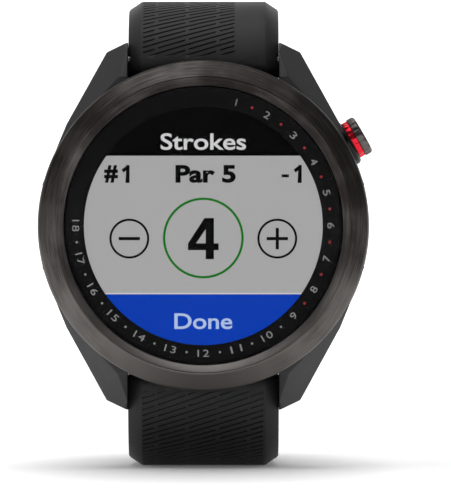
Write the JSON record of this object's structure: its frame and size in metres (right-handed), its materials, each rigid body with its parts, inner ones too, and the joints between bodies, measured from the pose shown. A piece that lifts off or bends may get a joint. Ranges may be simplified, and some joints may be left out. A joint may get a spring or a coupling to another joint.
{
  "type": "golf gps watch",
  "caption": "Round golf GPS wristwatch with a dark metal bezel, a hole-numbered ring around the display, a side button and a ribbed silicone strap closed on its buckle.",
  "frame": {"origin": "centre of the rear cover's outer face, on the dial axis", "axes": "+X to 3 o'clock, on the button's side, +Y from the dial out of the case back, +Z to 12 o'clock"},
  "size_m": [0.0441, 0.0618, 0.062],
  "materials": {
    "polymer": "fine matt moulded polymer",
    "gunmetal": "brushed dark gunmetal anodising",
    "seal_black": "matt seal rubber",
    "lens_glass": "clear polished glass",
    "print_black": "black print behind glass",
    "sensor_film": "smooth film",
    "display": "lit reflective display",
    "white_film": "white film",
    "flex": "amber polyimide",
    "frame_grey": "moulded polymer",
    "board": "solder mask",
    "chip": "moulded epoxy",
    "ceramic": "fired ceramic",
    "cell": "foil pouch",
    "steel": "turned stainless steel",
    "spring_steel": "drawn spring wire",
    "screw_steel": "satin stainless steel",
    "seal_red": "matt seal rubber",
    "gold": "gold plated",
    "red_anodised": "satin red anodising",
    "silicone": "matt silicone",
    "buckle_steel": "brushed dark coating"
  },
  "bodies": {
    "case": {"case_body": "polymer", "bezel_ring": "gunmetal", "bezel_gasket": "seal_black", "lens": "lens_glass", "lens_seal": "seal_black", "dial_ring": "print_black", "touch_sensor": "sensor_film", "display_panel": "display", "backlight_plate": "white_film", "display_flex": "flex", "inner_frame": "frame_grey", "main_board": "board", "board_chips": "chip", "gps_antenna": "ceramic", "battery": "cell", "battery_pad": "white_film", "vibration_motor": "steel", "tactile_switch": "steel", "rear_cover": "polymer", "cover_gasket": "seal_red", "cover_screws": "screw_steel", "contact_block": "frame_grey", "charge_contacts": "gold", "button_guard": "polymer", "button_bushing": "steel"},
    "button": {"button_cap": "gunmetal", "button_ring": "red_anodised", "button_stem": "steel", "button_seals": "seal_black", "button_clip": "steel", "button_spring": "spring_steel"},
    "upper_root": {"upper_strap": "silicone", "upper_bar_tube": "steel", "upper_bar_tip": "steel", "upper_bar_spring": "spring_steel"},
    "upper_end": {"upper_strap_end": "silicone", "fixed_keeper": "silicone"},
    "lower_root": {"lower_strap": "silicone", "lower_bar_tube": "steel", "lower_bar_tip": "steel", "lower_bar_spring": "spring_steel"},
    "lower_end": {"lower_strap_tail": "silicone"},
    "keeper": {"free_keeper": "silicone"},
    "buckle": {"buckle_frame": "buckle_steel", "buckle_bar": "buckle_steel"},
    "tongue": {"buckle_tongue": "buckle_steel"},
    "upper_release": {"upper_release_pin": "steel"},
    "lower_release": {"lower_release_pin": "steel"}
  },
  "joints": [
    {"name": "upper_strap_swing", "type": "hinge", "parent": "case", "child": "upper_root", "pos_m": [0, -0.0026, 0.022], "axis": [1, 0, 0], "range_deg": [-12, 12], "stiffness_Nm_per_rad": 0.25},
    {"name": "upper_end_fold", "type": "hinge", "parent": "upper_root", "child": "upper_end", "pos_m": [0, 0.04275, 0.02], "axis": [1, 0, 0], "range_deg": [-12, 12], "stiffness_Nm_per_rad": 0.1},
    {"name": "lower_strap_swing", "type": "hinge", "parent": "case", "child": "lower_root", "pos_m": [0, -0.0026, -0.022], "axis": [1, 0, 0], "range_deg": [-12, 12], "stiffness_Nm_per_rad": 0.25},
    {"name": "lower_end_fold", "type": "hinge", "parent": "lower_root", "child": "lower_end", "pos_m": [0, 0.04275, -0.024], "axis": [1, 0, 0], "range_deg": [-12, 12], "stiffness_Nm_per_rad": 0.1},
    {"name": "button_press", "type": "slide", "parent": "case", "child": "button", "axis": [-0.866, 0, -0.5], "range_m": [0, 0.0004], "stiffness_N_per_m": 2500, "springref_m": -0.0004, "deforming": ["button_spring"]},
    {"name": "keeper_slide", "type": "slide", "parent": "upper_end", "child": "keeper", "axis": [0, 0, 1], "range_m": [-0.004, 0.0025]},
    {"name": "buckle_swing", "type": "hinge", "parent": "upper_end", "child": "buckle", "pos_m": [0, 0.04335, -0.004], "axis": [1, 0, 0], "range_deg": [0, 4]},
    {"name": "tongue_swing", "type": "hinge", "parent": "buckle", "child": "tongue", "pos_m": [0, 0.04335, -0.004], "axis": [1, 0, 0], "range_deg": [0, 3]},
    {"name": "upper_release_slide", "type": "slide", "parent": "upper_root", "child": "upper_release", "axis": [-1, 0, 0], "range_m": [0, 0.0013], "stiffness_N_per_m": 600, "springref_m": -0.0012, "deforming": ["upper_bar_spring"]},
    {"name": "lower_release_slide", "type": "slide", "parent": "lower_root", "child": "lower_release", "axis": [-1, 0, 0], "range_m": [0, 0.0013], "stiffness_N_per_m": 600, "springref_m": -0.0012, "deforming": ["lower_bar_spring"]}
  ],
  "couplings": [
    {"joint": "upper_end_fold", "follows": "upper_strap_swing", "ratio": -1},
    {"joint": "lower_strap_swing", "follows": "upper_strap_swing", "ratio": 1},
    {"joint": "lower_end_fold", "follows": "upper_strap_swing", "ratio": -1}
  ]
}
